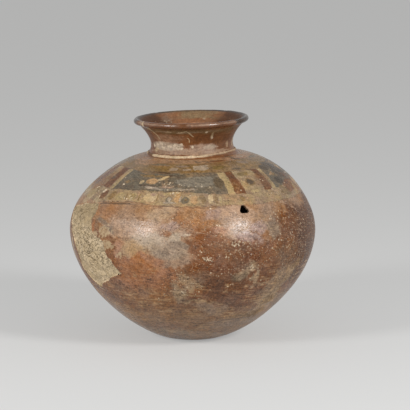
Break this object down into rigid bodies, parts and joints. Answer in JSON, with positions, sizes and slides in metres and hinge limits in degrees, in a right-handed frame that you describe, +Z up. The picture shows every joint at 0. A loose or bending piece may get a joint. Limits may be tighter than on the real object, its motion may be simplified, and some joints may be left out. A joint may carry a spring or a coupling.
{
  "type": "globular vase",
  "caption": "Round-bodied painted clay jar with a short flared neck, rolled lip and a small flat rest spot, its slip worn, flaked and pierced.",
  "frame": {"origin": "centre of the flat rest spot under the jar", "axes": "+Z up along the jar's axis, -Y towards the painted front with the pierced shoulder, +X to the viewer's right"},
  "size_m": [0.2878, 0.2878, 0.261],
  "materials": {
    "brown_clay": "matt",
    "red_slip": "burnished satin",
    "painted_slip": "burnished satin",
    "cream_slip": "matt"
  },
  "bodies": {
    "root": {"base_bowl": "brown_clay", "lower_wall": "red_slip", "belly_wall": "red_slip", "lower_shoulder": "painted_slip", "upper_shoulder": "painted_slip", "neck": "red_slip", "rim": "red_slip", "neck_fillet": "cream_slip"}
  },
  "joints": []
}
